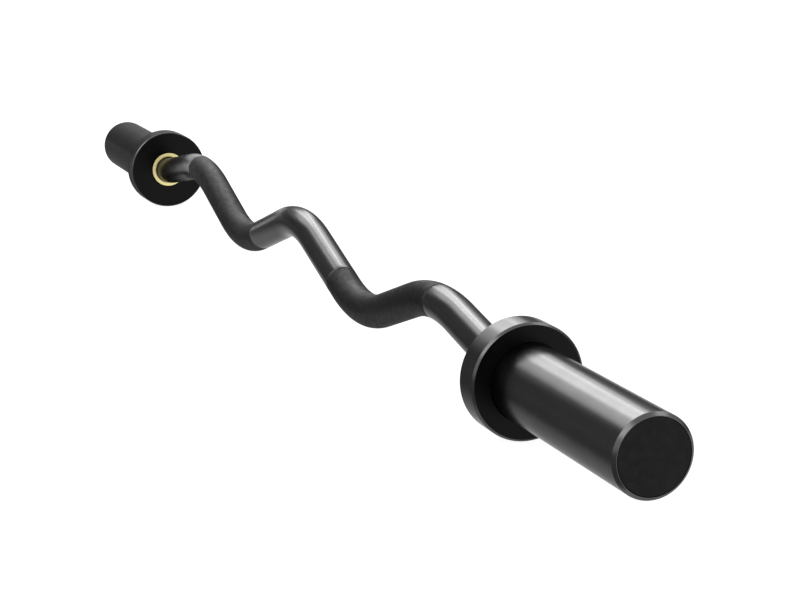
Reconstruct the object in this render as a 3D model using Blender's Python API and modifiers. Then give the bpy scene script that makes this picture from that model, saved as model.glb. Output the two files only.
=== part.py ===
"""Olympic curl bar: a bent steel shaft that carries a free-turning plate sleeve on each end.

World axes: +X runs along the bar, +Z is up, and the bends lie in the XZ plane. The origin is on the
sleeves' axis, halfway along the bar. All sizes are in metres.

Each end is drawn in its own frame. Its origin is on the sleeves' axis at the collar's inboard face,
and its +Z points outboard, so a height there is a distance from that face towards the bar's tip.
"""

import math

import bmesh
import bpy
from mathutils import Vector

# Whole bar
BAR_LENGTH = 1.200
LOADABLE_LENGTH = 0.160
COLLAR_WIDTH = 0.020
COLLAR_RADIUS = 0.0375
SLEEVE_RADIUS = 0.025
SHAFT_RADIUS = 0.0125

# Corners of the shaft's centreline, as ((x, z), bend radius): the middle bend, then those of the
# right half from the middle outwards. The left half is their mirror image.
BENDS = (
    ((0.0000, 0.0265), 0.120),
    ((0.1510, -0.0240), 0.125),
    ((0.2895, 0.0245), 0.155),
    ((0.4125, 0.0000), 0.075),
)
BEND_STEP = math.radians(5)

# Clearance kept between pieces that touch or run on each other
GAP = 0.0003

# Facets round each kind of turned piece
LARGE_STEPS = 48
SMALL_STEPS = 32
SHAFT_SIDES = 24
SHARP_ANGLE = math.radians(30)
WELD_DISTANCE = 0.00001

# Collar: a flange ring whose inboard lip closes over the end of the sleeve tube
COLLAR_LIP = 0.004
COLLAR_OUTBOARD_CHAMFER = 0.0014
COLLAR_INBOARD_CHAMFER = 0.0008

# Bushings: bronze, pressed into the sleeve, so that they turn with it on the shaft
INNER_BUSHING_RADIUS = 0.0165
INNER_BUSHING_LENGTH = 0.030
INNER_BUSHING_CHAMFER = 0.0007
OUTER_BUSHING_RADIUS = 0.0175
OUTER_BUSHING_LENGTH = 0.025
OUTER_BUSHING_CHAMFER = 0.0006

# Sleeve: thick tube with a seat for each bushing and for the end cap
RELIEF_BORE_RADIUS = 0.016
CAP_SEAT_RADIUS = 0.0227
SLEEVE_MOUTH_CHAMFER = 0.002

# Spindle: the shaft's turned-down end, from its shoulder to its tip
SPINDLE_RADIUS = 0.011
SHOULDER_HEIGHT = 0.125
SPINDLE_TIP_HEIGHT = 0.161
SPINDLE_CHAMFER = 0.001
SPINDLE_ROOT_DEPTH = 0.004

# Thrust washers: hardened steel, loose on the spindle at either face of the outer bushing
INNER_WASHER_RADIUS = 0.0155
INNER_WASHER_THICKNESS = 0.0024
OUTER_WASHER_RADIUS = 0.0140
OUTER_WASHER_THICKNESS = 0.0025
WASHER_CHAMFER = 0.0003

# Snap rings: one round the spindle, and one in the sleeve's bore that keeps the outer bushing in
SHAFT_RING_THICKNESS = 0.0012
SHAFT_RING_BITE = 0.0007
SHAFT_RING_BAND = (0.0014, 0.0026)
SHAFT_RING_LUG = 0.0042
SHAFT_RING_EAR = 0.0017
SHAFT_RING_HOLE = 0.0009
SLEEVE_RING_THICKNESS = 0.00175
SLEEVE_RING_BITE = 0.0010
SLEEVE_RING_BAND = (0.0018, 0.0030)
SLEEVE_RING_LUG = 0.0045
SLEEVE_RING_EAR = 0.0018
SLEEVE_RING_HOLE = 0.0010
RING_OPENING = math.radians(24)
RING_STEPS = 22
EAR_STEPS = 5
HOLE_STEPS = 8

# End cap: a steel disc flush with the sleeve's mouth, held by an O-ring in a groove round its rim
CAP_THICKNESS = 0.008
CAP_CHAMFER = 0.0003
CAP_GROOVE_WIDTH = 0.0024
CAP_GROOVE_DEPTH = 0.0019
CAP_GROOVE_HEIGHT = 0.0022
O_RING_SIDES = 6

# Heights in an end's frame, worked out along the stack of pieces on the spindle
SLEEVE_TOP = COLLAR_WIDTH + LOADABLE_LENGTH
SLEEVE_BOTTOM = COLLAR_LIP + GAP
INNER_WASHER_BOTTOM = SHOULDER_HEIGHT + GAP
OUTER_BUSHING_BOTTOM = INNER_WASHER_BOTTOM + INNER_WASHER_THICKNESS + GAP
OUTER_BUSHING_TOP = OUTER_BUSHING_BOTTOM + OUTER_BUSHING_LENGTH
SLEEVE_RING_BOTTOM = OUTER_BUSHING_TOP + GAP
SLEEVE_RING_TOP = SLEEVE_RING_BOTTOM + SLEEVE_RING_THICKNESS
OUTER_WASHER_BOTTOM = OUTER_BUSHING_TOP + GAP
SHAFT_RING_BOTTOM = OUTER_WASHER_BOTTOM + OUTER_WASHER_THICKNESS + GAP
SHAFT_RING_TOP = SHAFT_RING_BOTTOM + SHAFT_RING_THICKNESS
CAP_BOTTOM = SLEEVE_TOP - CAP_THICKNESS
END_FRAME_X = BAR_LENGTH / 2 - SLEEVE_TOP

# Each finish is (colour, roughness, metallic)
FINISHES = {
    "shaft_black_steel": ((0.030, 0.030, 0.032), 0.34, 0.9),
    "sleeve_black_steel": ((0.028, 0.028, 0.030), 0.32, 0.9),
    "collar_black_steel": ((0.024, 0.024, 0.026), 0.42, 0.9),
    "end_cap_black": ((0.018, 0.018, 0.019), 0.55, 0.3),
    "bushing_bronze": ((0.72, 0.56, 0.26), 0.30, 1.0),
    "washer_steel": ((0.55, 0.55, 0.56), 0.30, 1.0),
    "snap_ring_spring_steel": ((0.10, 0.10, 0.11), 0.38, 1.0),
    "o_ring_rubber": ((0.015, 0.015, 0.015), 0.75, 0.0),
}


def clear_scene():
    for obj in list(bpy.data.objects):
        bpy.data.objects.remove(obj, do_unlink=True)


def new_collection(name):
    collection = bpy.data.collections.new(name)
    bpy.context.scene.collection.children.link(collection)
    return collection


def new_finish(name):
    colour, roughness, metallic = FINISHES[name]
    material = bpy.data.materials.new(name)
    material.use_nodes = True
    shader = material.node_tree.nodes["Principled BSDF"]
    shader.inputs["Base Color"].default_value = (*colour, 1.0)
    shader.inputs["Roughness"].default_value = roughness
    shader.inputs["Metallic"].default_value = metallic
    material.diffuse_color = (*colour, 1.0)
    return material


def place(obj, collection, parent=None, height=0.0):
    """Links an object and sets it on its parent's axis at a height."""
    collection.objects.link(obj)
    obj.parent = parent
    obj.location = (0.0, 0.0, height)
    return obj


def settle(obj, material):
    """Turns an object's evaluated shape into its own plain mesh, smooth with sharp corners."""
    bpy.context.view_layer.update()
    evaluated = obj.evaluated_get(bpy.context.evaluated_depsgraph_get())
    mesh = bpy.data.meshes.new_from_object(evaluated)
    mesh.name = obj.name
    mesh.shade_smooth()
    mesh.set_sharp_from_angle(angle=SHARP_ANGLE)
    mesh.materials.clear()
    mesh.materials.append(material)
    obj.modifiers.clear()
    obj.data = mesh
    return obj


def turned(name, profile, closed, steps, collection, parent=None, height=0.0):
    """A lathe part: its profile is (radius, height) points that run down the outer side."""
    edges = [(i, i + 1) for i in range(len(profile) - 1)]
    if closed:
        edges.append((len(profile) - 1, 0))
    mesh = bpy.data.meshes.new(name)
    mesh.from_pydata([(radius, 0.0, z) for radius, z in profile], edges, [])
    obj = place(bpy.data.objects.new(name, mesh), collection, parent, height)
    screw = obj.modifiers.new("Turn", "SCREW")
    screw.axis = "Z"
    screw.angle = math.tau
    screw.steps = steps
    screw.render_steps = steps
    screw.use_merge_vertices = True
    screw.merge_threshold = WELD_DISTANCE
    return obj


def tube_profile(outer, inner, length, chamfer):
    """Profile of a plain ring from height 0 to its length, with all four corners chamfered."""
    return [
        (outer - chamfer, length),
        (outer, length - chamfer),
        (outer, chamfer),
        (outer - chamfer, 0.0),
        (inner + chamfer, 0.0),
        (inner, chamfer),
        (inner, length - chamfer),
        (inner + chamfer, length),
    ]


def bend_arc(before, corner, after, radius):
    """Points of the arc that rounds a corner, tangent to both straight runs."""
    back = (before - corner).normalized()
    ahead = (after - corner).normalized()
    turn = math.pi - back.angle(ahead)
    reach = radius * math.tan(turn / 2)
    start = corner + back * reach
    centre = corner + (back + ahead).normalized() * (radius / math.cos(turn / 2))
    spoke = start - centre
    side = 1.0 if back.cross(ahead) < 0.0 else -1.0
    steps = max(2, math.ceil(turn / BEND_STEP))
    points = []
    for i in range(steps + 1):
        angle = side * turn * i / steps
        rotated = Vector((
            spoke.x * math.cos(angle) - spoke.y * math.sin(angle),
            spoke.x * math.sin(angle) + spoke.y * math.cos(angle),
        ))
        points.append(centre + rotated)
    return points


def shaft_path():
    """Centreline of the shaft from shoulder to shoulder, as (x, z) points."""
    shoulder = END_FRAME_X + SHOULDER_HEIGHT
    left_bends = [((-x, z), radius) for (x, z), radius in reversed(BENDS[1:])]
    bends = left_bends + list(BENDS)
    corners = [Vector(corner) for corner, radius in bends]
    stops = [Vector((-shoulder, 0.0))] + corners + [Vector((shoulder, 0.0))]
    points = [stops[0]]
    for i, (corner, radius) in enumerate(bends):
        points += bend_arc(stops[i], stops[i + 1], stops[i + 2], radius)
    points.append(stops[-1])
    return points


def new_curve(name, dimensions):
    curve = bpy.data.curves.new(name, "CURVE")
    curve.dimensions = dimensions
    return curve


def add_spline(curve, points, cyclic):
    spline = curve.splines.new("POLY")
    spline.points.add(len(points) - 1)
    for knot, (x, y, z) in zip(spline.points, points):
        knot.co = (x, y, z, 1.0)
    spline.use_cyclic_u = cyclic


def welded_mesh_object(curve_object, collection):
    """Replaces a curve object by a mesh object whose loose caps are welded on."""
    bpy.context.view_layer.update()
    evaluated = curve_object.evaluated_get(bpy.context.evaluated_depsgraph_get())
    mesh = bpy.data.meshes.new_from_object(evaluated)
    welder = bmesh.new()
    welder.from_mesh(mesh)
    bmesh.ops.remove_doubles(welder, verts=welder.verts, dist=WELD_DISTANCE)
    welder.to_mesh(mesh)
    welder.free()
    name = curve_object.name
    matrix = curve_object.matrix_world.copy()
    bpy.data.objects.remove(curve_object, do_unlink=True)
    obj = bpy.data.objects.new(name, mesh)
    collection.objects.link(obj)
    obj.matrix_world = matrix
    return obj


def build_spindle(side, end, cutters):
    """Turned end of the shaft, with the snap ring's groove; it starts inside the shaft."""
    groove_bottom = SHAFT_RING_BOTTOM - GAP
    groove_top = SHAFT_RING_TOP + GAP
    groove_radius = SPINDLE_RADIUS - SHAFT_RING_BITE - GAP
    root = SHOULDER_HEIGHT - SPINDLE_ROOT_DEPTH
    profile = [
        (0.0, SPINDLE_TIP_HEIGHT),
        (SPINDLE_RADIUS - SPINDLE_CHAMFER, SPINDLE_TIP_HEIGHT),
        (SPINDLE_RADIUS, SPINDLE_TIP_HEIGHT - SPINDLE_CHAMFER),
        (SPINDLE_RADIUS, groove_top),
        (groove_radius, groove_top),
        (groove_radius, groove_bottom),
        (SPINDLE_RADIUS, groove_bottom),
        (SPINDLE_RADIUS, root),
        (0.0, root),
    ]
    spindle = turned(side + "_spindle", profile, False, SHAFT_SIDES, cutters, end)
    spindle.display_type = "WIRE"
    spindle.hide_render = True
    return spindle


def build_shaft(ends, parts, cutters, finishes):
    """One bent bar of round steel, with a turned spindle at each end."""
    curve = new_curve("shaft", "3D")
    add_spline(curve, [(point.x, 0.0, point.y) for point in shaft_path()], False)
    curve.bevel_depth = SHAFT_RADIUS
    curve.bevel_resolution = (SHAFT_SIDES - 4) // 2
    curve.use_fill_caps = True
    curve.twist_mode = "Z_UP"
    shaft = welded_mesh_object(place(bpy.data.objects.new("shaft", curve), parts), parts)
    for side, end in ends.items():
        join = shaft.modifiers.new(side + "_spindle", "BOOLEAN")
        join.operation = "UNION"
        join.solver = "EXACT"
        join.object = build_spindle(side, end, cutters)
    return settle(shaft, finishes["shaft_black_steel"])


def build_collar(side, end, parts, finishes):
    """Flange ring that stops the plates. Its lip covers the sleeve's end and rings the bushing."""
    sleeve_seat = SLEEVE_RADIUS + GAP
    lip_bore = INNER_BUSHING_RADIUS + GAP
    profile = [
        (COLLAR_RADIUS - COLLAR_OUTBOARD_CHAMFER, COLLAR_WIDTH),
        (COLLAR_RADIUS, COLLAR_WIDTH - COLLAR_OUTBOARD_CHAMFER),
        (COLLAR_RADIUS, COLLAR_INBOARD_CHAMFER),
        (COLLAR_RADIUS - COLLAR_INBOARD_CHAMFER, 0.0),
        (lip_bore, 0.0),
        (lip_bore, COLLAR_LIP),
        (sleeve_seat, COLLAR_LIP),
        (sleeve_seat, COLLAR_WIDTH),
    ]
    collar = turned(side + "_collar", profile, True, LARGE_STEPS, parts, end)
    return settle(collar, finishes["collar_black_steel"])


def build_sleeve(side, end, parts, finishes):
    """Tube that takes the plates, bored in steps for the bushings, the snap ring and the cap."""
    inner_seat = INNER_BUSHING_RADIUS + GAP
    outer_seat = OUTER_BUSHING_RADIUS + GAP
    groove_radius = outer_seat + SLEEVE_RING_BITE + GAP
    inner_seat_top = INNER_BUSHING_LENGTH + GAP
    outer_seat_bottom = OUTER_BUSHING_BOTTOM - GAP
    profile = [
        (SLEEVE_RADIUS - SLEEVE_MOUTH_CHAMFER, SLEEVE_TOP),
        (SLEEVE_RADIUS, SLEEVE_TOP - SLEEVE_MOUTH_CHAMFER),
        (SLEEVE_RADIUS, SLEEVE_BOTTOM),
        (inner_seat, SLEEVE_BOTTOM),
        (inner_seat, inner_seat_top),
        (RELIEF_BORE_RADIUS, inner_seat_top),
        (RELIEF_BORE_RADIUS, outer_seat_bottom),
        (outer_seat, outer_seat_bottom),
        (outer_seat, SLEEVE_RING_BOTTOM - GAP),
        (groove_radius, SLEEVE_RING_BOTTOM - GAP),
        (groove_radius, SLEEVE_RING_TOP + GAP),
        (outer_seat, SLEEVE_RING_TOP + GAP),
        (outer_seat, CAP_BOTTOM - GAP),
        (CAP_SEAT_RADIUS, CAP_BOTTOM - GAP),
        (CAP_SEAT_RADIUS, SLEEVE_TOP),
    ]
    sleeve = turned(side + "_sleeve", profile, True, LARGE_STEPS, parts, end)
    return settle(sleeve, finishes["sleeve_black_steel"])


def build_bushings(side, end, parts, finishes):
    """The inner bushing shows as a ring in the collar's face; the outer one takes the thrust."""
    inner = tube_profile(
        INNER_BUSHING_RADIUS, SHAFT_RADIUS + GAP, INNER_BUSHING_LENGTH, INNER_BUSHING_CHAMFER
    )
    outer = tube_profile(
        OUTER_BUSHING_RADIUS, SPINDLE_RADIUS + GAP, OUTER_BUSHING_LENGTH, OUTER_BUSHING_CHAMFER
    )
    bushings = [
        turned(side + "_inner_bushing", inner, True, SMALL_STEPS, parts, end),
        turned(side + "_outer_bushing", outer, True, SMALL_STEPS, parts, end, OUTER_BUSHING_BOTTOM),
    ]
    return [settle(bushing, finishes["bushing_bronze"]) for bushing in bushings]


def build_thrust_washers(side, end, parts, finishes):
    bore = SPINDLE_RADIUS + GAP
    inner = tube_profile(INNER_WASHER_RADIUS, bore, INNER_WASHER_THICKNESS, WASHER_CHAMFER)
    outer = tube_profile(OUTER_WASHER_RADIUS, bore, OUTER_WASHER_THICKNESS, WASHER_CHAMFER)
    inner_name = side + "_inner_thrust_washer"
    outer_name = side + "_outer_thrust_washer"
    washers = [
        turned(inner_name, inner, True, SMALL_STEPS, parts, end, INNER_WASHER_BOTTOM),
        turned(outer_name, outer, True, SMALL_STEPS, parts, end, OUTER_WASHER_BOTTOM),
    ]
    return [settle(washer, finishes["washer_steel"]) for washer in washers]


def polar(radius, angle):
    return Vector((radius * math.cos(angle), radius * math.sin(angle)))


def ear_arc(orbit, angle, ear, outward):
    """Half circle round an ear, on the side away from the groove."""
    centre = polar(orbit, angle)
    points = []
    for i in range(EAR_STEPS + 1):
        swing = angle + math.pi / 2 - outward * math.pi * i / EAR_STEPS
        points.append(centre + polar(ear, swing))
    return points


def snap_ring_outline(seat, outward, band, lug, ear):
    """Outline of a snap ring and the centres of its two ears.

    The seat edge is the one that lies in the groove. The band is widest opposite the opening, and
    each end has a round ear for pliers. outward is 1 on a shaft and -1 in a bore.
    """
    orbit = seat + outward * (lug - ear)
    ear_width = 2 * math.asin(ear / orbit)
    first = RING_OPENING / 2
    last = math.tau - first
    seat_edge = []
    for i in range(RING_STEPS + 1):
        seat_edge.append(polar(seat, first + (last - first) * i / RING_STEPS))
    band_edge = []
    for i in range(1, RING_STEPS):
        around = last - ear_width + (first - last + 2 * ear_width) * i / RING_STEPS
        width = band[0] + (band[1] - band[0]) * (1 - math.cos(around)) / 2
        band_edge.append(polar(seat + outward * width, around))
    last_ear = last - ear_width / 2
    first_ear = first + ear_width / 2
    outline = seat_edge + ear_arc(orbit, last_ear, ear, outward)
    outline += band_edge + ear_arc(orbit, first_ear, ear, outward)
    return outline, (polar(orbit, last_ear), polar(orbit, first_ear))


def build_snap_ring(name, outline, hole, thickness, height, end, parts, finishes):
    """Flat spring ring cut to its outline, with a hole through each ear."""
    points, ears = outline
    curve = new_curve(name, "2D")
    curve.fill_mode = "BOTH"
    curve.extrude = thickness / 2
    add_spline(curve, [(point.x, point.y, 0.0) for point in points], True)
    for centre in ears:
        rim = [centre + polar(hole, math.tau * i / HOLE_STEPS) for i in range(HOLE_STEPS)]
        add_spline(curve, [(point.x, point.y, 0.0) for point in rim], True)
    ring = place(bpy.data.objects.new(name, curve), parts, end, height + thickness / 2)
    curve.materials.append(finishes["snap_ring_spring_steel"])
    return ring


def build_snap_rings(side, journal, sleeve_axis, parts, finishes):
    shaft_outline = snap_ring_outline(
        SPINDLE_RADIUS - SHAFT_RING_BITE, 1, SHAFT_RING_BAND, SHAFT_RING_LUG, SHAFT_RING_EAR
    )
    sleeve_outline = snap_ring_outline(
        OUTER_BUSHING_RADIUS + GAP + SLEEVE_RING_BITE, -1, SLEEVE_RING_BAND, SLEEVE_RING_LUG,
        SLEEVE_RING_EAR
    )
    build_snap_ring(
        side + "_shaft_snap_ring", shaft_outline, SHAFT_RING_HOLE, SHAFT_RING_THICKNESS,
        SHAFT_RING_BOTTOM, journal, parts, finishes
    )
    build_snap_ring(
        side + "_bushing_snap_ring", sleeve_outline, SLEEVE_RING_HOLE, SLEEVE_RING_THICKNESS,
        SLEEVE_RING_BOTTOM, sleeve_axis, parts, finishes
    )


def build_end_cap(side, end, parts, finishes):
    """Disc in the sleeve's mouth, and the O-ring round its rim that grips the bore."""
    radius = CAP_SEAT_RADIUS - GAP
    groove_radius = radius - CAP_GROOVE_DEPTH
    groove_top = CAP_GROOVE_HEIGHT + CAP_GROOVE_WIDTH
    profile = [
        (0.0, CAP_THICKNESS),
        (radius - CAP_CHAMFER, CAP_THICKNESS),
        (radius, CAP_THICKNESS - CAP_CHAMFER),
        (radius, groove_top),
        (groove_radius, groove_top),
        (groove_radius, CAP_GROOVE_HEIGHT),
        (radius, CAP_GROOVE_HEIGHT),
        (radius, CAP_CHAMFER),
        (radius - CAP_CHAMFER, 0.0),
        (0.0, 0.0),
    ]
    cap = turned(side + "_end_cap", profile, False, LARGE_STEPS, parts, end, CAP_BOTTOM)
    settle(cap, finishes["end_cap_black"])

    cord_radius = (CAP_SEAT_RADIUS - groove_radius) / 2 - GAP
    ring_radius = (CAP_SEAT_RADIUS + groove_radius) / 2
    section = []
    for i in range(O_RING_SIDES):
        angle = math.tau * i / O_RING_SIDES
        section.append((ring_radius + cord_radius * math.sin(angle), cord_radius * math.cos(angle)))
    groove_middle = CAP_BOTTOM + (CAP_GROOVE_HEIGHT + groove_top) / 2
    o_ring = turned(side + "_cap_o_ring", section, True, SMALL_STEPS, parts, end, groove_middle)
    settle(o_ring, finishes["o_ring_rubber"])


def new_axis(name, side_sign, parts):
    """An empty on the sleeves' axis at the collar's inboard face, with +Z pointing outboard."""
    empty = bpy.data.objects.new(name, None)
    parts.objects.link(empty)
    empty.location = (side_sign * END_FRAME_X, 0.0, 0.0)
    empty.rotation_euler = (0.0, side_sign * math.pi / 2, 0.0)
    return empty


def main():
    clear_scene()
    parts = new_collection("olympic_curl_bar")
    cutters = new_collection("cutters")
    finishes = {name: new_finish(name) for name in FINISHES}
    sides = {"left": -1, "right": 1}
    journals = {side: new_axis(side + "_journal", sign, parts) for side, sign in sides.items()}
    build_shaft(journals, parts, cutters, finishes)
    for side, sign in sides.items():
        sleeve_axis = new_axis(side + "_sleeve_axis", sign, parts)
        build_collar(side, sleeve_axis, parts, finishes)
        build_sleeve(side, sleeve_axis, parts, finishes)
        build_bushings(side, sleeve_axis, parts, finishes)
        build_end_cap(side, sleeve_axis, parts, finishes)
        build_thrust_washers(side, journals[side], parts, finishes)
        build_snap_rings(side, journals[side], sleeve_axis, parts, finishes)


main()
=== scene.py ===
# An olympic curl bar in black steel: a bent, knurled shaft with a plate sleeve that turns on each end.
# Axes and origin are the CAD's: +X runs along the bar, +Z is up in the plane of the bends, in metres.
import math

import bmesh
import bpy
import numpy as np
from mathutils import Matrix, Vector


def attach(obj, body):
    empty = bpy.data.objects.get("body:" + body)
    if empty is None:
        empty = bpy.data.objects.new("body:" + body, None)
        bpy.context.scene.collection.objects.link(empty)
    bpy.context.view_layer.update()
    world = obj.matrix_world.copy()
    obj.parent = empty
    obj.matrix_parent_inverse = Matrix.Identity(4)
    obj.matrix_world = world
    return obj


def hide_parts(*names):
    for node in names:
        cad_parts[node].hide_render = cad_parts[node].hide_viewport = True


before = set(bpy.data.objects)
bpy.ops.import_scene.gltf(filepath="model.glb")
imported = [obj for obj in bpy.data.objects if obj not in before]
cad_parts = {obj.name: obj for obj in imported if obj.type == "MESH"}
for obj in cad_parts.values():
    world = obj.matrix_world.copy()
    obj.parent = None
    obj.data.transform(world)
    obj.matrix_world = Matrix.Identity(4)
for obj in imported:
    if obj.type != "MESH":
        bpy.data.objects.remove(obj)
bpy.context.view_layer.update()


# Camera. It stands off the right end of the bar and a little above it, where the photograph was taken
# from, with a long lens.
CAMERA_PLACE = Vector((1.48895, -0.49247, 0.31633))
CAMERA_FORWARD = Vector((-0.90835, 0.35337, -0.22366))
CAMERA_UP = Vector((-0.21089, 0.07477, 0.97465))
LENS_MM = 88.617
SENSOR_MM = 36.0
SIGHT_LIMIT = 100.0

camera_data = bpy.data.cameras.new("photograph_camera")
camera_data.sensor_fit = "HORIZONTAL"
camera_data.sensor_width = SENSOR_MM
camera_data.lens = LENS_MM
camera_data.clip_end = SIGHT_LIMIT
camera = bpy.data.objects.new("photograph_camera", camera_data)
bpy.context.scene.collection.objects.link(camera)
camera_right = CAMERA_FORWARD.cross(CAMERA_UP).normalized()
camera_up = camera_right.cross(CAMERA_FORWARD).normalized()
turned_to_bar = Matrix((camera_right, camera_up, -CAMERA_FORWARD)).transposed()
camera.matrix_world = Matrix.Translation(CAMERA_PLACE) @ turned_to_bar.to_4x4()
bpy.context.scene.camera = camera
bpy.context.scene.view_settings.view_transform = "Standard"


# Studio. A white floor that the two collars rest on and a white surround. Four soft boxes side by side
# stand up behind the far end, one stands in front of the bar and one behind it. Grey cards on the floor
# and beside the boxes keep the rest of the bar dark, and two small lamps reach the far end of the shaft.
COLLAR_RADIUS = 0.0375
WHITE = (1.0, 1.0, 1.0, 1.0)
SURROUND_GREY = (0.46, 0.46, 0.46, 1.0)
FLOOR_COLOUR = (0.22, 0.22, 0.22, 1.0)
FLOOR_GLOW = 0.93
FLOOR_REACH = 14.0
LAMP_DISTANCE = 4.0
SMALL_LAMP_X = -0.447
SMALL_LAMP_RADIANCE = 2.6
STANDING_CARD_GREY = (0.38, 0.38, 0.38, 1.0)
LYING_CARD_GREY = (0.20, 0.20, 0.20, 1.0)
CARD_DISTANCE = 5.0
CARD_FOOT = -0.0370
FAR_CARD_EDGE_X = -0.43
FRONT_CARD_EDGE_X = 0.602
FADE_GONE_Y = -0.020
FADE_FULL_Y = -0.085


def fed(tree, node, inputs):
    """Feeds a node's inputs, by name or place in the list, from sockets or with plain values."""
    for key, source in inputs.items():
        if isinstance(source, bpy.types.NodeSocket):
            tree.links.new(source, node.inputs[key])
        else:
            node.inputs[key].default_value = source
    return node


def joined(tree, node_type, inputs, **properties):
    """Adds a node, sets its properties and feeds its inputs."""
    node = tree.nodes.new(node_type)
    for name, value in properties.items():
        setattr(node, name, value)
    return fed(tree, node, inputs)


def worked_out(tree, operation, *values):
    """The result of a sum on one or two values, such as MULTIPLY or FLOOR."""
    return joined(tree, "ShaderNodeMath", dict(enumerate(values)), operation=operation).outputs[0]


def seen_directly(tree):
    """A factor that is 1 where a ray comes straight from the camera, or by way of metal or glass."""
    path = tree.nodes.new("ShaderNodeLightPath").outputs
    camera_or_gloss = worked_out(tree, "MAXIMUM", path["Is Camera Ray"], path["Is Glossy Ray"])
    return worked_out(tree, "MAXIMUM", camera_or_gloss, path["Is Transmission Ray"])


def level_corners(x_from, x_to, y_from, y_to, height):
    """The corners of a level rectangle, in order round it."""
    return [
        (x_from, y_from, height),
        (x_to, y_from, height),
        (x_to, y_to, height),
        (x_from, y_to, height),
    ]


def flat_sheet(name, corners, material):
    """A four-cornered sheet of the studio, which isn't part of the bar."""
    mesh = bpy.data.meshes.new(name)
    mesh.from_pydata([tuple(corner) for corner in corners], [], [(0, 1, 2, 3)])
    mesh.materials.append(material)
    sheet = bpy.data.objects.new(name, mesh)
    bpy.context.scene.collection.objects.link(sheet)
    return sheet


def from_the_bar(right, up):
    """The direction turned right and up by degrees from -X, the way the camera looks along the bar."""
    flat = math.cos(math.radians(up))
    return Vector((
        -flat * math.cos(math.radians(right)),
        flat * math.sin(math.radians(right)),
        math.sin(math.radians(up)),
    ))


def rectangular_lamp(name, place, behind, width, height, radiance):
    """A flat lamp that has its back to the direction behind it and shines the other way."""
    lamp_data = bpy.data.lights.new(name, "AREA")
    lamp_data.shape = "RECTANGLE"
    lamp_data.size = width
    lamp_data.size_y = height
    lamp_data.energy = radiance * math.pi * width * height
    lamp = bpy.data.objects.new(name, lamp_data)
    bpy.context.scene.collection.objects.link(lamp)
    lamp.location = place
    lamp.rotation_euler = behind.to_track_quat("Z", "Y").to_euler()
    lamp.visible_camera = False
    return lamp


def soft_box(name, left, right, low, high, radiance):
    """A rectangular lamp that fills the given directions, in degrees, as the bar sees them."""
    towards = from_the_bar((left + right) / 2, (low + high) / 2)
    width = 2 * LAMP_DISTANCE * math.tan(math.radians(right - left) / 2)
    height = 2 * LAMP_DISTANCE * math.tan(math.radians(high - low) / 2)
    rectangular_lamp(name, towards * LAMP_DISTANCE, towards, width, height, radiance)


def small_lamp(name, y_from, y_to, low, high):
    """A lamp by the far sleeve that faces the middle of the bar and only shows in the polish there."""
    place = Vector((SMALL_LAMP_X, (y_from + y_to) / 2, (low + high) / 2))
    behind = Vector((-1.0, 0.0, 0.0))
    lamp = rectangular_lamp(name, place, behind, y_to - y_from, high - low, SMALL_LAMP_RADIANCE)
    lamp.visible_diffuse = False


def blank_material(name):
    """A new material, its node tree and its shader."""
    material = bpy.data.materials.new(name)
    material.use_nodes = True
    return material, material.node_tree, material.node_tree.nodes["Principled BSDF"]


def card_paper(name, grey):
    """Dull grey paper for a card."""
    material, tree, shader = blank_material(name)
    fed(tree, shader, {"Base Color": grey, "Roughness": 1.0, "Specular IOR Level": 0.0})
    return material


def fading_paper(name, grey):
    """Card paper that fades out towards the bar, so that its edge draws no line in the polish."""
    material = card_paper(name, grey)
    tree = material.node_tree
    place = tree.nodes.new("ShaderNodeTexCoord").outputs["Object"]
    along_y = joined(tree, "ShaderNodeSeparateXYZ", {"Vector": place}).outputs["Y"]
    fade = joined(
        tree, "ShaderNodeMapRange",
        {"Value": along_y, "From Min": FADE_GONE_Y, "From Max": FADE_FULL_Y},
        interpolation_type="SMOOTHSTEP"
    )
    fed(tree, tree.nodes["Principled BSDF"], {"Alpha": fade.outputs["Result"]})
    return material


def hidden_card(name, corners, paper):
    """A card that only shows in the polish of the bar: it neither lights it nor throws a shadow."""
    card = flat_sheet(name, corners, paper)
    card.visible_camera = False
    card.visible_shadow = False
    card.visible_diffuse = False


def standing_card(name, left, right, top, paper):
    """A card on the floor that reaches from left to right and up to top, in degrees."""
    one = from_the_bar(left, 0.0) * CARD_DISTANCE
    other = from_the_bar(right, 0.0) * CARD_DISTANCE
    foot = Vector((0.0, 0.0, CARD_FOOT))
    height = Vector((0.0, 0.0, CARD_DISTANCE * math.tan(math.radians(top))))
    hidden_card(name, [one + foot, other + foot, other + height, one + height], paper)


def lying_card(name, x_from, x_to, y_from, y_to, paper):
    """A card that lies just over the floor."""
    hidden_card(name, level_corners(x_from, x_to, y_from, y_to, CARD_FOOT), paper)


world = bpy.data.worlds.new("white_surround")
bpy.context.scene.world = world
world.use_nodes = True
world_tree = world.node_tree
world_tree.nodes.clear()
lighting_surround = joined(world_tree, "ShaderNodeBackground", {"Color": SURROUND_GREY})
visible_surround = joined(world_tree, "ShaderNodeBackground", {"Color": WHITE})
surround = joined(world_tree, "ShaderNodeMixShader", {
    0: seen_directly(world_tree),
    1: lighting_surround.outputs[0],
    2: visible_surround.outputs[0],
})
joined(world_tree, "ShaderNodeOutputWorld", {"Surface": surround.outputs[0]})

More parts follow.
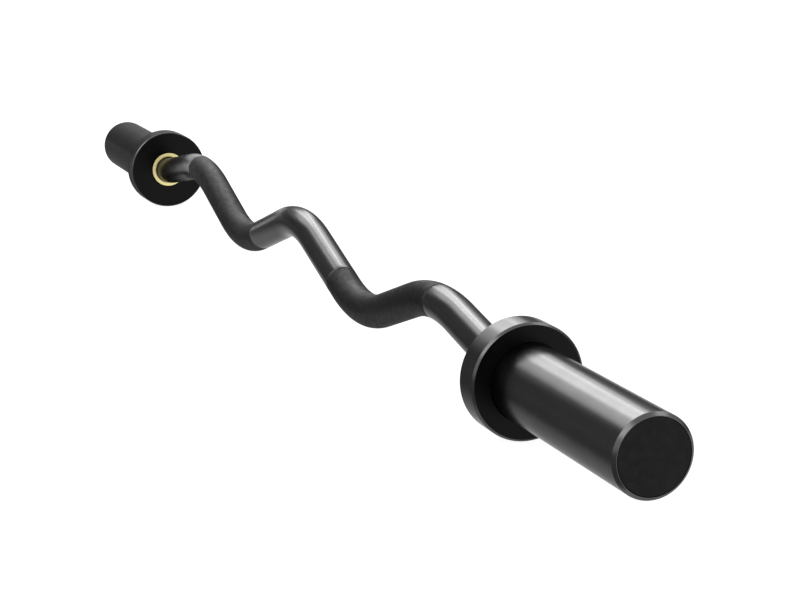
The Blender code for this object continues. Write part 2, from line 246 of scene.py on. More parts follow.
floor_white = bpy.data.materials.new("white_floor")
floor_white.use_nodes = True
floor_tree = floor_white.node_tree
floor_tree.nodes.clear()
floor_paint = joined(floor_tree, "ShaderNodeBsdfDiffuse", {"Color": FLOOR_COLOUR})
floor_glow = joined(floor_tree, "ShaderNodeEmission", {
    "Color": WHITE,
    "Strength": worked_out(floor_tree, "MULTIPLY", seen_directly(floor_tree), FLOOR_GLOW),
})
floor_surface = joined(floor_tree, "ShaderNodeAddShader", {
    0: floor_paint.outputs[0],
    1: floor_glow.outputs[0],
})
joined(floor_tree, "ShaderNodeOutputMaterial", {"Surface": floor_surface.outputs[0]})
floor_corners = level_corners(-FLOOR_REACH, FLOOR_REACH, -FLOOR_REACH, FLOOR_REACH, -COLLAR_RADIUS)
flat_sheet("floor", floor_corners, floor_white)

soft_box("middle_soft_box", left=1.5, right=20.5, low=24.0, high=55.5, radiance=7.5)
soft_box("corner_soft_box", left=18.5, right=28.0, low=18.0, high=33.0, radiance=4.9)
soft_box("left_soft_box", left=-23.0, right=0.0, low=28.0, high=54.0, radiance=3.1)
soft_box("right_soft_box", left=21.5, right=42.0, low=35.0, high=55.0, radiance=4.6)
soft_box("front_soft_box", left=-142.0, right=-72.0, low=28.0, high=58.0, radiance=2.2)
soft_box("back_soft_box", left=70.0, right=125.0, low=40.0, high=58.0, radiance=2.0)

standing_paper = card_paper("standing_card_paper", STANDING_CARD_GREY)
standing_card("left_card", left=-50.0, right=-24.0, top=50.0, paper=standing_paper)
standing_card("low_card", left=-24.0, right=43.0, top=15.0, paper=standing_paper)
standing_card("right_card", left=43.0, right=88.0, top=44.0, paper=standing_paper)

lying_paper = card_paper("lying_card_paper", LYING_CARD_GREY)
faded_paper = fading_paper("faded_card_paper", LYING_CARD_GREY)
lying_card(
    "lying_card", x_from=FAR_CARD_EDGE_X, x_to=FRONT_CARD_EDGE_X, y_from=-3.0, y_to=FADE_GONE_Y,
    paper=faded_paper
)
lying_card(
    "far_lying_card", x_from=-3.0, x_to=FAR_CARD_EDGE_X, y_from=-3.0, y_to=0.30, paper=lying_paper
)
lying_card(
    "front_lying_card", x_from=FRONT_CARD_EDGE_X, x_to=2.5, y_from=-2.5, y_to=-0.02, paper=lying_paper
)

small_lamp("upper_small_lamp", y_from=-0.048, y_to=0.060, low=0.049, high=0.088)
small_lamp("side_small_lamp", y_from=-0.090, y_to=-0.048, low=-0.036, high=0.066)


# Shaft. One bar of 25 mm round steel, turned down to a spindle at each end, knurled in two grips with
# a narrow groove at each end of a grip, bent cold in one plane and blackened. It carries the rest.
SHAFT_RADIUS = 0.0125
SHOULDER_X = 0.545
SHOULDER_CHAMFER = 0.0006
SPINDLE_RADIUS = 0.011
SPINDLE_TIP_X = 0.581
SPINDLE_CHAMFER = 0.001
RING_GROOVE_X = (0.5758, 0.5776)
RING_GROOVE_RADIUS = 0.010
WALL_SLANT = 0.00002
GRIP_ENDS_X = (0.1006, 0.2970)
GRIP_GROOVE_WIDTH = 0.0016
GRIP_GROOVE_DEPTH = 0.0005
GRIP_GROOVE_FLOOR_SHARE = 0.7
GRIP_EDGE_EASE = 0.0006
GRIP_EDGE_SHARES = (1.0, 0.75, 0.5, 0.3, 0.15, 0.05)
LAST_POLISHED_SHARE = 0.3
KNURL_PITCH = 0.00095
KNURL_DEPTH = 0.00016
KNURL_SIDES = 128
KNURLED_ABOVE = 0.01
UNPOLISHED_BELOW = 0.6
RING_STEP = 0.004
CENTRELINE_STEP = 0.00025
SHARP_ANGLE = math.radians(32)
BLACK_EDGE_TINT = (0.5, 0.5, 0.5, 1.0)

# Each bend of the right half, from the middle outwards: its corner as x and z, and its radius.
BENDS = (
    ((0.0000, 0.0265), 0.120),
    ((0.1510, -0.0240), 0.125),
    ((0.2895, 0.0245), 0.155),
    ((0.4125, 0.0000), 0.075),
)


def turning(before, corner, after):
    """The directions back and ahead from a corner of a line, and the angle that it turns by there."""
    back = (before - corner).normalized()
    ahead = (after - corner).normalized()
    return back, ahead, math.pi - back.angle(ahead)


def arc_points(before, corner, after, radius, steps):
    """Points of the arc that rounds a corner of a line, tangent to both straight runs."""
    back, ahead, turn = turning(before, corner, after)
    start = corner + back * radius * math.tan(turn / 2)
    centre = corner + (back + ahead).normalized() * (radius / math.cos(turn / 2))
    side = 1.0 if back.cross(ahead) < 0.0 else -1.0
    points = []
    for i in range(steps + 1):
        spoke = start - centre
        spoke.rotate(Matrix.Rotation(side * turn * i / steps, 2))
        points.append(centre + spoke)
    return points


def half_centreline():
    """Right half of the bent centreline, from the middle to the spindle's tip, as x and z arrays."""
    first_left = Vector((-BENDS[1][0][0], BENDS[1][0][1]))
    stops = [first_left] + [Vector(corner) for corner, radius in BENDS] + [Vector((SPINDLE_TIP_X, 0.0))]
    points = []
    for i, (corner, radius) in enumerate(BENDS):
        around = stops[i:i + 3]
        turn = turning(*around)[2]
        points += arc_points(*around, radius, math.ceil(radius * turn / CENTRELINE_STEP))
    points.append(stops[-1])
    apex = Vector((0.0, max(point.y for point in points if abs(point.x) < CENTRELINE_STEP)))
    right_half = [apex] + [point for point in points if point.x > CENTRELINE_STEP / 2]
    return np.array([point.x for point in right_half]), np.array([point.y for point in right_half])


def evenly(start, end, step, knurl):
    """Rings at about a step's distance, without the last one, as (length, radius, knurl, polish)."""
    count = max(1, round((end - start) / step))
    lengths = [start + (end - start) * i / count for i in range(count)]
    return [(length, SHAFT_RADIUS, knurl, 1.0 - knurl) for length in lengths]


def grip_groove(edge, outwards):
    """Rings across the groove at one end of a grip, from the polished steel into the knurl."""
    across = []
    for share in GRIP_EDGE_SHARES:
        drop = GRIP_GROOVE_DEPTH * (1.0 - math.sqrt(1.0 - (1.0 - share) ** 2))
        # The steep wall and the floor stay unpolished: they take the grip's dull black and its painted
        # valley shade.
        polish = 1.0 if share >= LAST_POLISHED_SHARE else 0.0
        across.append((edge - outwards * GRIP_EDGE_EASE * share, SHAFT_RADIUS - drop, 0.0, polish))
    floor_radius = SHAFT_RADIUS - GRIP_GROOVE_DEPTH
    floor_end = edge + outwards * GRIP_GROOVE_WIDTH * GRIP_GROOVE_FLOOR_SHARE
    across.append((edge, floor_radius, 0.0, 0.0))
    across.append((floor_end, floor_radius, 0.0, 0.0))
    across.append((edge + outwards * GRIP_GROOVE_WIDTH, SHAFT_RADIUS, 1.0, 0.0))
    return across


half_x, half_z = half_centreline()
half_length = np.concatenate([[0.0], np.cumsum(np.hypot(np.diff(half_x), np.diff(half_z)))])
tip = half_length[-1]
shoulder = tip - (SPINDLE_TIP_X - SHOULDER_X)
groove_start, groove_end = [tip - (SPINDLE_TIP_X - x) for x in RING_GROOVE_X]
inner_edge, outer_edge = np.interp(GRIP_ENDS_X, half_x, half_length)
inner_groove = grip_groove(inner_edge, 1)
outer_groove = list(reversed(grip_groove(outer_edge, -1)))
rings = evenly(0.0, inner_groove[0][0], RING_STEP, 0.0)
rings += inner_groove[:-1]
rings += evenly(inner_groove[-1][0], outer_groove[0][0], KNURL_PITCH, 1.0)
rings += outer_groove
rings += evenly(outer_groove[-1][0], shoulder - SHOULDER_CHAMFER, RING_STEP, 0.0)[1:]
for length, radius in (
    (shoulder - SHOULDER_CHAMFER, SHAFT_RADIUS),
    (shoulder - WALL_SLANT, SHAFT_RADIUS - SHOULDER_CHAMFER),
    (shoulder, SPINDLE_RADIUS),
    (groove_start - WALL_SLANT, SPINDLE_RADIUS),
    (groove_start, RING_GROOVE_RADIUS),
    (groove_end, RING_GROOVE_RADIUS),
    (groove_end + WALL_SLANT, SPINDLE_RADIUS),
    (tip - SPINDLE_CHAMFER, SPINDLE_RADIUS),
    (tip, SPINDLE_RADIUS - SPINDLE_CHAMFER),
):
    rings.append((length, radius, 0.0, 1.0))
all_rings = [(-length, *rest) for length, *rest in reversed(rings[1:])] + rings
ring_places = []
for length in [ring[0] for ring in all_rings]:
    x = math.copysign(np.interp(abs(length), half_length, half_x), length)
    ring_places.append((x, 0.0, np.interp(abs(length), half_length, half_z)))


def noise(tree, place, scale, detail):
    """Cloudy noise, from 0 to 1, over a surface."""
    inputs = {"Vector": place, "Scale": scale, "Detail": detail}
    return joined(tree, "ShaderNodeTexNoise", inputs).outputs["Fac"]


def shaded(tree, factor, dark_at, dark, light_at, light):
    """A colour that runs from dark to light while the factor goes from dark_at to light_at."""
    ramp = joined(tree, "ShaderNodeValToRGB", {"Fac": factor})
    low_end, high_end = ramp.color_ramp.elements
    low_end.position = dark_at
    low_end.color = (*dark, 1.0)
    high_end.position = light_at
    high_end.color = (*light, 1.0)
    return ramp.outputs["Color"]


def ranged(tree, factor, low, high, low_at=0.0, high_at=1.0):
    """A value that runs from low to high while the factor goes from low_at to high_at."""
    inputs = {"Value": factor, "From Min": low_at, "From Max": high_at, "To Min": low, "To Max": high}
    return joined(tree, "ShaderNodeMapRange", inputs).outputs["Result"]


def bumped(tree, height, depth):
    """The normal of a surface that is embossed to the given depth."""
    return joined(tree, "ShaderNodeBump", {"Height": height, "Distance": depth}).outputs["Normal"]


def black_steel(name, dark, light, rough, mark_scale, mark_depth):
    """Blackened steel: a cloudy black with a satin gloss, and tool marks stretched by mark_scale."""
    material, tree, shader = blank_material(name)
    place = tree.nodes.new("ShaderNodeTexCoord").outputs["Object"]
    clouds = noise(tree, place, scale=38.0, detail=4.0)
    grain = noise(tree, place, scale=420.0, detail=3.0)
    stretched = joined(tree, "ShaderNodeMapping", {"Vector": place, "Scale": mark_scale})
    marks = noise(tree, stretched.outputs["Vector"], scale=1.0, detail=2.0)
    fed(tree, shader, {
        "Metallic": 1.0,
        "Specular Tint": BLACK_EDGE_TINT,
        "Base Color": shaded(tree, clouds, dark_at=0.32, dark=dark, light_at=0.70, light=light),
        "Roughness": ranged(
            tree, grain, low=rough - 0.012, high=rough + 0.018, low_at=0.3, high_at=0.7
        ),
        "Normal": bumped(tree, marks, depth=mark_depth),
    })
    return material


def rolled_black(name):
    """The dull black of the rolled knurl: cloudy wear brightens its points, and painted shade darkens
    its valleys.
    """
    material, tree, shader = blank_material(name)
    place = tree.nodes.new("ShaderNodeTexCoord").outputs["Object"]
    clouds = noise(tree, place, scale=240.0, detail=3.0)
    height = joined(tree, "ShaderNodeAttribute", {}, attribute_name="knurl_height").outputs["Fac"]
    # The knurl's height darkens the valleys as painted shade, and the clouds vary the points as wear.
    wear_and_valley_shade = worked_out(tree, "MULTIPLY", height, clouds)
    fed(tree, shader, {
        "Metallic": 1.0,
        "Specular Tint": BLACK_EDGE_TINT,
        "Base Color": shaded(
            tree, wear_and_valley_shade, dark_at=0.05, dark=(0.024, 0.024, 0.024),
            light_at=0.60, light=(0.105, 0.105, 0.106)
        ),
        "Roughness": ranged(tree, wear_and_valley_shade, low=0.50, high=0.34),
        "Normal": bumped(tree, clouds, depth=0.00002),
    })
    return material


def named_number(tree, name):
    """The value of a mesh's own attribute, such as a ring's radius."""
    node_type = "GeometryNodeInputNamedAttribute"
    return joined(tree, node_type, {"Name": name}, data_type="FLOAT").outputs["Attribute"]


def knurled_sweep():
    """Tree that sweeps a round bar along its centreline and rolls the knurl into the grips."""
    tree = bpy.data.node_groups.new("knurled_sweep", "GeometryNodeTree")
    for socket_name, kind in (
        ("Centreline", "Geometry"),
        ("Points Round The Bar", "Int"),
        ("Knurl Depth", "Float"),
        ("Polished Steel", "Material"),
        ("Rolled Steel", "Material"),
    ):
        tree.interface.new_socket(socket_name, in_out="INPUT", socket_type="NodeSocket" + kind)
    tree.interface.new_socket("Shaft", in_out="OUTPUT", socket_type="NodeSocketGeometry")
    given = tree.nodes.new("NodeGroupInput").outputs
    count = given["Points Round The Bar"]

    line = joined(tree, "GeometryNodeMeshToCurve", {"Mesh": given["Centreline"]})
    upright = joined(
        tree, "GeometryNodeSetCurveNormal", {"Curve": line.outputs["Curve"]}, mode="Z_UP"
    )
    circle = joined(
        tree, "GeometryNodeCurvePrimitiveCircle", {"Resolution": count, "Radius": 1.0}, mode="RADIUS"
    )
    bar = joined(tree, "GeometryNodeCurveToMesh", {
        "Curve": upright.outputs["Curve"],
        "Profile Curve": circle.outputs["Curve"],
        "Scale": named_number(tree, "turned_radius"),
        "Fill Caps": True,
    })

    # Every other point of a ring is a valley, and the next ring is offset by one, which makes diamonds.
    index = tree.nodes.new("GeometryNodeInputIndex").outputs["Index"]
    ring = worked_out(tree, "FLOOR", worked_out(tree, "DIVIDE", index, count))
    valley = worked_out(tree, "MODULO", worked_out(tree, "ADD", ring, index), 2.0)
    grip = named_number(tree, "knurl")
    cut = worked_out(tree, "MULTIPLY", valley, grip)
    depth = worked_out(tree, "MULTIPLY", cut, given["Knurl Depth"])
    offset = joined(
        tree, "ShaderNodeVectorMath",
        {
            0: tree.nodes.new("GeometryNodeInputNormal").outputs["Normal"],
            "Scale": worked_out(tree, "MULTIPLY", depth, -1.0),
        },
        operation="SCALE"
    )
    rolled = joined(tree, "GeometryNodeSetPosition", {
        "Geometry": bar.outputs["Mesh"],
        "Offset": offset.outputs["Vector"],
    })
    # The height, 1 on a point and 0 in a valley, lets the grip's material paint shade into the valleys.
    marked = joined(
        tree, "GeometryNodeStoreNamedAttribute",
        {
            "Geometry": rolled.outputs["Geometry"],
            "Name": "knurl_height",
            "Value": worked_out(tree, "SUBTRACT", 1.0, valley),
        },
        data_type="FLOAT", domain="POINT"
    )

    in_grip = joined(
        tree, "FunctionNodeCompare", {"A": grip, "B": KNURLED_ABOVE},
        operation="GREATER_THAN", data_type="FLOAT"
    )
    split = joined(
        tree, "GeometryNodeTriangulate",
        {"Mesh": marked.outputs["Geometry"], "Selection": in_grip.outputs["Result"]},
        quad_method="SHORTEST_DIAGONAL"
    )
    smooth = joined(
        tree, "GeometryNodeSetShadeSmooth",
        {"Geometry": split.outputs["Mesh"], "Shade Smooth": True},
        domain="FACE"
    )
    crisp = joined(
        tree, "GeometryNodeSetShadeSmooth",
        {
            "Geometry": smooth.outputs["Geometry"],
            "Selection": in_grip.outputs["Result"],
            "Shade Smooth": False,
        },
        domain="FACE"
    )

    real = joined(tree, "GeometryNodeRealizeInstances", {"Geometry": crisp.outputs["Geometry"]})
    polished = joined(tree, "GeometryNodeSetMaterial", {
        "Geometry": real.outputs["Geometry"],
        "Material": given["Polished Steel"],
    })
    unpolished = joined(
        tree, "FunctionNodeCompare", {"A": named_number(tree, "polish"), "B": UNPOLISHED_BELOW},
        operation="LESS_THAN", data_type="FLOAT"
    )
    steel = joined(tree, "GeometryNodeSetMaterial", {
        "Geometry": polished.outputs["Geometry"],
        "Selection": unpolished.outputs["Result"],
        "Material": given["Rolled Steel"],
    })
    joined(tree, "NodeGroupOutput", {"Shaft": steel.outputs["Geometry"]})
    return tree


def grown(name, mesh, tree, settings):
    """Runs a tree on a mesh and returns an object with the result as its own plain mesh."""
    source = bpy.data.objects.new(name, mesh)
    bpy.context.scene.collection.objects.link(source)
    modifier = source.modifiers.new("grow", "NODES")
    modifier.node_group = tree
    for item in tree.interface.items_tree:
        if item.in_out == "INPUT" and item.name in settings:
            modifier[item.identifier] = settings[item.name]
    bpy.context.view_layer.update()
    evaluated = source.evaluated_get(bpy.context.evaluated_depsgraph_get())
    result = bpy.data.meshes.new_from_object(evaluated)
    result.name = name
    source.modifiers.remove(modifier)
    source.data = result
    return source


shaft_steel = black_steel(
    "blackened_shaft_steel", dark=(0.090, 0.090, 0.091), light=(0.102, 0.102, 0.103), rough=0.23,
    mark_scale=(60.0, 1400.0, 1400.0), mark_depth=0.0000010
)
grip_black = rolled_black("rolled_grip_black")
centreline = bpy.data.meshes.new("shaft_centreline")
centreline.from_pydata(ring_places, [(i, i + 1) for i in range(len(ring_places) - 1)], [])
for column, attribute_name in ((1, "turned_radius"), (2, "knurl"), (3, "polish")):
    attribute = centreline.attributes.new(attribute_name, "FLOAT", "POINT")
    attribute.data.foreach_set("value", [ring[column] for ring in all_rings])
shaft = grown("bent_shaft", centreline, knurled_sweep(), {
    "Points Round The Bar": KNURL_SIDES,
    "Knurl Depth": KNURL_DEPTH,
    "Polished Steel": shaft_steel,
    "Rolled Steel": grip_black,
})
shaft.data.set_sharp_from_angle(angle=SHARP_ANGLE)
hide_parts("shaft")
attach(shaft, "shaft")


# Sleeves. A thick steel tube on each end takes the plates. It is bored in steps for the bushings, the
# snap ring and the cap, turned to 50 mm outside, chamfered at its mouth and blackened.
SIDES = {"right": 1.0, "left": -1.0}
COLLAR_FACE_X = 0.420
SLEEVE_RADIUS = 0.025
SLEEVE_BOTTOM = 0.0043
SLEEVE_TOP = 0.180
SLEEVE_MOUTH_CHAMFER = 0.002
INNER_SEAT_RADIUS = 0.0168
INNER_SEAT_TOP = 0.0303
MIDDLE_BORE_RADIUS = 0.016
OUTER_SEAT_RADIUS = 0.0178
OUTER_SEAT_BOTTOM = 0.1277
BORE_GROOVE_RADIUS = 0.0191
BORE_GROOVE_BOTTOM = 0.1530
BORE_GROOVE_TOP = 0.15535
CAP_SEAT_RADIUS = 0.0227
CAP_SEAT_BOTTOM = 0.1717
EDGE_EASE = 0.00018
SHARP = 0.0
EASE_STEPS = 4
LATHE_SIDES = 160
ON_THE_AXIS = 0.000001


def eased(corners, closed):
    """Rounds each corner (radius, height, ease) of a profile, with a support point on both sides."""
    points = []
    for i, (radius, height, ease) in enumerate(corners):
        here = Vector((radius, height))
        open_end = not closed and i in (0, len(corners) - 1)
        if open_end or ease == SHARP:
            points.append(here)
            continue
        before = Vector(corners[i - 1][:2])
        after = Vector(corners[(i + 1) % len(corners)][:2])
        back, ahead, turn = turning(before, here, after)
        support = ease * math.tan(turn / 2) + ease
        points.append(here + back * support)
        points += arc_points(before, here, after, ease, EASE_STEPS)
        points.append(here + ahead * support)
    return points


def lathed(name, sign, corners, material, closed=True):
    """A turned piece on one end of the bar, from corners (radius, height, ease).

    A height is the distance outboard from the collar's inboard face. A profile that isn't closed
    runs from the axis round to the axis.
    """
    form = bmesh.new()
    loops = []
    for point in eased(corners, closed):
        x = sign * (COLLAR_FACE_X + point.y)
        if point.x < ON_THE_AXIS:
            loops.append([form.verts.new((x, 0.0, 0.0))])
            continue
        loop = []
        for i in range(LATHE_SIDES):
            angle = math.tau * i / LATHE_SIDES
            loop.append(form.verts.new((x, point.x * math.cos(angle), point.x * math.sin(angle))))
        loops.append(loop)
    pairs = list(zip(loops, loops[1:]))
    if closed:
        pairs.append((loops[-1], loops[0]))
    for one, other in pairs:
        for i in range(LATHE_SIDES):
            j = (i + 1) % LATHE_SIDES
            if len(one) == 1:
                form.faces.new((one[0], other[i], other[j]))
            elif len(other) == 1:
                form.faces.new((one[i], other[0], one[j]))
            else:
                form.faces.new((one[i], other[i], other[j], one[j]))
    bmesh.ops.recalc_face_normals(form, faces=form.faces)
    mesh = bpy.data.meshes.new(name)
    form.to_mesh(mesh)
    form.free()
    mesh.shade_smooth()
    mesh.set_sharp_from_angle(angle=SHARP_ANGLE)
    mesh.materials.append(material)
    piece = bpy.data.objects.new(name, mesh)
    bpy.context.scene.collection.objects.link(piece)
    return piece


sleeve_steel = black_steel(
    "blackened_sleeve_steel", dark=(0.090, 0.090, 0.091), light=(0.102, 0.102, 0.103), rough=0.23,
    mark_scale=(2600.0, 6.0, 6.0), mark_depth=0.0000012
)
sleeve_corners = [
    (SLEEVE_RADIUS - SLEEVE_MOUTH_CHAMFER, SLEEVE_TOP, EDGE_EASE),
    (SLEEVE_RADIUS, SLEEVE_TOP - SLEEVE_MOUTH_CHAMFER, EDGE_EASE),
    (SLEEVE_RADIUS, SLEEVE_BOTTOM, EDGE_EASE),
    (INNER_SEAT_RADIUS, SLEEVE_BOTTOM, EDGE_EASE),
    (INNER_SEAT_RADIUS, INNER_SEAT_TOP, SHARP),
    (MIDDLE_BORE_RADIUS, INNER_SEAT_TOP, SHARP),
    (MIDDLE_BORE_RADIUS, OUTER_SEAT_BOTTOM, SHARP),
    (OUTER_SEAT_RADIUS, OUTER_SEAT_BOTTOM, SHARP),
    (OUTER_SEAT_RADIUS, BORE_GROOVE_BOTTOM, SHARP),
    (BORE_GROOVE_RADIUS, BORE_GROOVE_BOTTOM, SHARP),
    (BORE_GROOVE_RADIUS, BORE_GROOVE_TOP, SHARP),
    (OUTER_SEAT_RADIUS, BORE_GROOVE_TOP, SHARP),
    (OUTER_SEAT_RADIUS, CAP_SEAT_BOTTOM, SHARP),
    (CAP_SEAT_RADIUS, CAP_SEAT_BOTTOM, SHARP),
    (CAP_SEAT_RADIUS, SLEEVE_TOP, SHARP),
]
for side, sign in SIDES.items():
    sleeve = lathed(side + "_plate_sleeve", sign, sleeve_corners, sleeve_steel)
    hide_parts(side + "_sleeve")
    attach(sleeve, side + "_sleeve_assembly")


# Collars. A flange ring stops the plates at the inboard end of each sleeve. It is turned from steel
# plate, pushed over the sleeve's end and welded inside; its lip frames the bronze bushing.
COLLAR_WIDTH = 0.020
COLLAR_BORE_RADIUS = 0.0253
COLLAR_LIP = 0.004
COLLAR_OUTBOARD_CHAMFER = 0.0014
COLLAR_INBOARD_CHAMFER = 0.0008
FLAT_FACE_LIMIT = 0.95


def matt_black(name, dark, light, rough):
    """The dull black that the blackening leaves on a face that was only faced off, not polished."""
    material, tree, shader = blank_material(name)
    place = tree.nodes.new("ShaderNodeTexCoord").outputs["Object"]
    clouds = noise(tree, place, scale=160.0, detail=4.0)
    fed(tree, shader, {
        "IOR": 1.4,
        "Specular IOR Level": 0.17,
        "Base Color": shaded(tree, clouds, dark_at=0.35, dark=dark, light_at=0.68, light=light),
        "Roughness": ranged(tree, clouds, low=rough - 0.05, high=rough + 0.05),
        "Normal": bumped(tree, clouds, depth=0.00001),
    })
    return material


def finish_flat_faces(mesh, material):
    """Gives the flat faces across the bar's axis another finish than the turned ones."""
    mesh.materials.append(material)
    for face in mesh.polygons:
        if abs(face.normal.x) > FLAT_FACE_LIMIT:
            face.material_index = 1


collar_steel = black_steel(
    "blackened_collar_steel", dark=(0.085, 0.085, 0.086), light=(0.098, 0.098, 0.099), rough=0.23,
    mark_scale=(2200.0, 8.0, 8.0), mark_depth=0.0000012
)
face_black = matt_black(
    "faced_black", dark=(0.0010, 0.0010, 0.0010), light=(0.0025, 0.0025, 0.0025), rough=0.34
)
collar_corners = [
    (COLLAR_RADIUS - COLLAR_OUTBOARD_CHAMFER, COLLAR_WIDTH, EDGE_EASE),
    (COLLAR_RADIUS, COLLAR_WIDTH - COLLAR_OUTBOARD_CHAMFER, EDGE_EASE),
    (COLLAR_RADIUS, COLLAR_INBOARD_CHAMFER, EDGE_EASE),
    (COLLAR_RADIUS - COLLAR_INBOARD_CHAMFER, 0.0, EDGE_EASE),
    (INNER_SEAT_RADIUS, 0.0, EDGE_EASE),
    (INNER_SEAT_RADIUS, COLLAR_LIP, SHARP),
    (COLLAR_BORE_RADIUS, COLLAR_LIP, SHARP),
    (COLLAR_BORE_RADIUS, COLLAR_WIDTH, EDGE_EASE),
]
for side, sign in SIDES.items():
    collar = lathed(side + "_flange_collar", sign, collar_corners, collar_steel)
    finish_flat_faces(collar.data, face_black)
    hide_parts(side + "_collar")
    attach(collar, side + "_sleeve_assembly")


# Bushings. Sintered bronze, pressed into the sleeve at both ends. The inner one shows as a ring round
# the shaft in the collar's face; the outer one runs on the spindle, out of sight.
INNER_BUSHING_RADIUS = 0.0165
INNER_BUSHING_HOLE_RADIUS = 0.0128
INNER_BUSHING_LENGTH = 0.030
INNER_BUSHING_RIM_BREAK = 0.0002
OUTER_BUSHING_RADIUS = 0.0175
OUTER_BUSHING_BOTTOM = 0.128
OUTER_BUSHING_TOP = 0.153
SPINDLE_HOLE_RADIUS = 0.0113
BUSHING_BREAK = 0.0006


def turned_metal(name, dark, light, rough, ring_scale):
    """Bare turned metal, with faint concentric tool marks across its faces."""
    material, tree, shader = blank_material(name)
    place = tree.nodes.new("ShaderNodeTexCoord").outputs["Object"]
    flat = joined(tree, "ShaderNodeMapping", {"Vector": place, "Scale": (0.0, 1.0, 1.0)})
    radius = joined(tree, "ShaderNodeVectorMath", {0: flat.outputs["Vector"]}, operation="LENGTH")
    along = joined(tree, "ShaderNodeSeparateXYZ", {"Vector": place})
    marks = joined(
        tree, "ShaderNodeTexNoise",
        {
            "W": worked_out(tree, "ADD", radius.outputs["Value"], along.outputs["X"]),
            "Scale": ring_scale,
            "Detail": 3.0,
        },
        noise_dimensions="1D"
    ).outputs["Fac"]
    fed(tree, shader, {
        "Metallic": 1.0,
        "Base Color": shaded(tree, marks, dark_at=0.30, dark=dark, light_at=0.65, light=light),
        "Roughness": ranged(tree, marks, low=rough - 0.06, high=rough + 0.08),
        "Normal": bumped(tree, marks, depth=0.000006),
    })
    return material


def tube_corners(outer, inner, bottom, top, break_out, break_in):
    """A plain ring with its edges broken: break_out round the outside and break_in round the bore."""
    return [
        (outer - break_out, top, SHARP),
        (outer, top - break_out, SHARP),
        (outer, bottom + break_out, SHARP),
        (outer - break_out, bottom, SHARP),
        (inner + break_in, bottom, SHARP),
        (inner, bottom + break_in, SHARP),
        (inner, top - break_in, SHARP),
        (inner + break_in, top, SHARP),
    ]


bronze = turned_metal(
    "bushing_bronze", dark=(0.97, 0.82, 0.34), light=(1.00, 0.94, 0.58), rough=0.62, ring_scale=5200.0
)
inner_corners = tube_corners(
    outer=INNER_BUSHING_RADIUS, inner=INNER_BUSHING_HOLE_RADIUS, bottom=0.0,
    top=INNER_BUSHING_LENGTH, break_out=INNER_BUSHING_RIM_BREAK, break_in=BUSHING_BREAK
)
outer_corners = tube_corners(
    outer=OUTER_BUSHING_RADIUS, inner=SPINDLE_HOLE_RADIUS, bottom=OUTER_BUSHING_BOTTOM,
    top=OUTER_BUSHING_TOP, break_out=BUSHING_BREAK, break_in=BUSHING_BREAK
)
for side, sign in SIDES.items():
    inner_bushing = lathed(side + "_inner_bronze_bushing", sign, inner_corners, bronze)
    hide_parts(side + "_inner_bushing")
    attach(inner_bushing, side + "_sleeve_assembly")
    outer_bushing = lathed(side + "_outer_bronze_bushing", sign, outer_corners, bronze)
    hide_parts(side + "_outer_bushing")
    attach(outer_bushing, side + "_sleeve_assembly")


# Thrust washers. Two hardened steel washers on each spindle, one at either face of the outer bushing,
# are loose and ground bright. They turn on their own.
WASHER_BREAK = 0.0003
INNER_WASHER_RADIUS = 0.0155
INNER_WASHER_BOTTOM = 0.1253
INNER_WASHER_TOP = 0.1277
OUTER_WASHER_RADIUS = 0.0140
OUTER_WASHER_BOTTOM = 0.1533
OUTER_WASHER_TOP = 0.1558

washer_steel = turned_metal(
    "ground_washer_steel", dark=(0.46, 0.46, 0.47), light=(0.62, 0.62, 0.63), rough=0.28,
    ring_scale=4200.0
)
for side, sign in SIDES.items():
    for place, outer, bottom, top in (
        ("inner", INNER_WASHER_RADIUS, INNER_WASHER_BOTTOM, INNER_WASHER_TOP),
        ("outer", OUTER_WASHER_RADIUS, OUTER_WASHER_BOTTOM, OUTER_WASHER_TOP),
    ):
        washer_corners = tube_corners(
            outer, SPINDLE_HOLE_RADIUS, bottom, top, WASHER_BREAK, WASHER_BREAK
        )
        name = side + "_" + place + "_thrust_washer"
        washer = lathed(name + "_ground", sign, washer_corners, washer_steel)
        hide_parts(name)
        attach(washer, name)


# Snap rings. Flat spring steel, one in the spindle's groove and one in the sleeve's bore, with a hole
# in each ear for the pliers. They hold the sleeve on. The CAD shape is right, so it stays.
spring_steel = turned_metal(
    "blued_spring_steel", dark=(0.07, 0.07, 0.08), light=(0.13, 0.13, 0.15), rough=0.38,
    ring_scale=3000.0
)
for side in SIDES:
    for ring_name in (side + "_shaft_snap_ring", side + "_bushing_snap_ring"):
        ring_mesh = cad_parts[ring_name].data
        ring_mesh.materials.clear()
        ring_mesh.materials.append(spring_steel)


# End caps. A steel disc closes each sleeve's mouth, flush with its face, and a rubber O-ring in a
# groove round the disc's rim grips the bore.
CAP_RADIUS = 0.0224
CAP_BOTTOM = 0.1720
CAP_RIM_BREAK = 0.0003
CAP_RIM_EASE = 0.0001
CAP_GROOVE_RADIUS = 0.0205
CAP_GROOVE_BOTTOM = 0.1742
CAP_GROOVE_TOP = 0.1766
O_RING_MIDDLE_RADIUS = 0.0216
O_RING_MIDDLE_HEIGHT = 0.1754
O_RING_CORD_RADIUS = 0.0008
O_RING_CORD_SIDES = 16

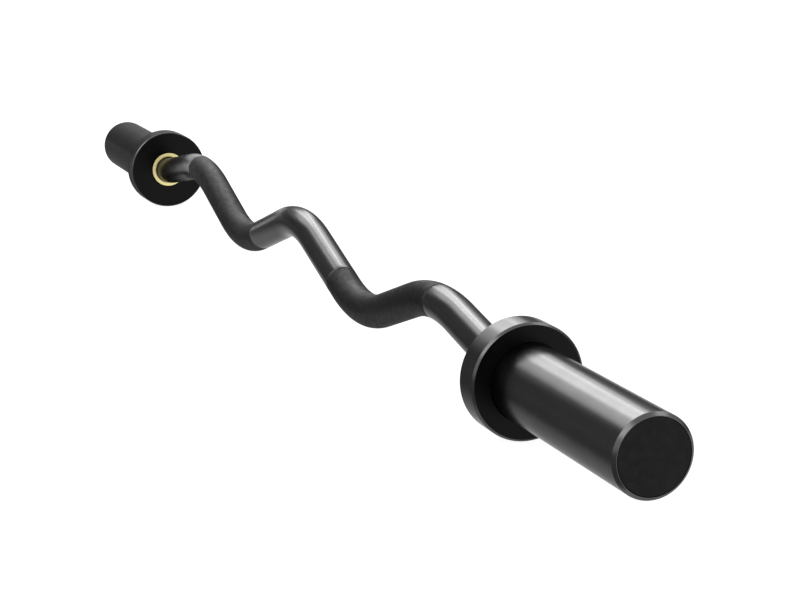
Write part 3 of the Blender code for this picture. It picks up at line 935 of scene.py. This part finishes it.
cap_black = matt_black(
    "cap_black", dark=(0.008, 0.008, 0.008), light=(0.018, 0.018, 0.018), rough=0.50
)
rubber, rubber_tree, rubber_shader = blank_material("o_ring_rubber")
rubber_place = rubber_tree.nodes.new("ShaderNodeTexCoord").outputs["Object"]
rubber_bloom = noise(rubber_tree, rubber_place, scale=600.0, detail=2.0)
rubber_colour = shaded(
    rubber_tree, rubber_bloom, dark_at=0.0, dark=(0.010, 0.010, 0.010),
    light_at=1.0, light=(0.030, 0.030, 0.030)
)
fed(rubber_tree, rubber_shader, {"Base Color": rubber_colour, "Roughness": 0.72})
cap_corners = [
    (0.0, SLEEVE_TOP, SHARP),
    (CAP_RADIUS - CAP_RIM_BREAK, SLEEVE_TOP, CAP_RIM_EASE),
    (CAP_RADIUS, SLEEVE_TOP - CAP_RIM_BREAK, CAP_RIM_EASE),
    (CAP_RADIUS, CAP_GROOVE_TOP, SHARP),
    (CAP_GROOVE_RADIUS, CAP_GROOVE_TOP, SHARP),
    (CAP_GROOVE_RADIUS, CAP_GROOVE_BOTTOM, SHARP),
    (CAP_RADIUS, CAP_GROOVE_BOTTOM, SHARP),
    (CAP_RADIUS, CAP_BOTTOM + CAP_RIM_BREAK, SHARP),
    (CAP_RADIUS - CAP_RIM_BREAK, CAP_BOTTOM, SHARP),
    (0.0, CAP_BOTTOM, SHARP),
]
cord_corners = []
for i in range(O_RING_CORD_SIDES):
    angle = math.tau * i / O_RING_CORD_SIDES
    radius = O_RING_MIDDLE_RADIUS + O_RING_CORD_RADIUS * math.sin(angle)
    height = O_RING_MIDDLE_HEIGHT + O_RING_CORD_RADIUS * math.cos(angle)
    cord_corners.append((radius, height, SHARP))
for side, sign in SIDES.items():
    cap = lathed(side + "_mouth_cap", sign, cap_corners, cap_black, closed=False)
    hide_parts(side + "_end_cap")
    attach(cap, side + "_sleeve_assembly")
    o_ring = lathed(side + "_rubber_o_ring", sign, cord_corners, rubber)
    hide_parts(side + "_cap_o_ring")
    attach(o_ring, side + "_sleeve_assembly")
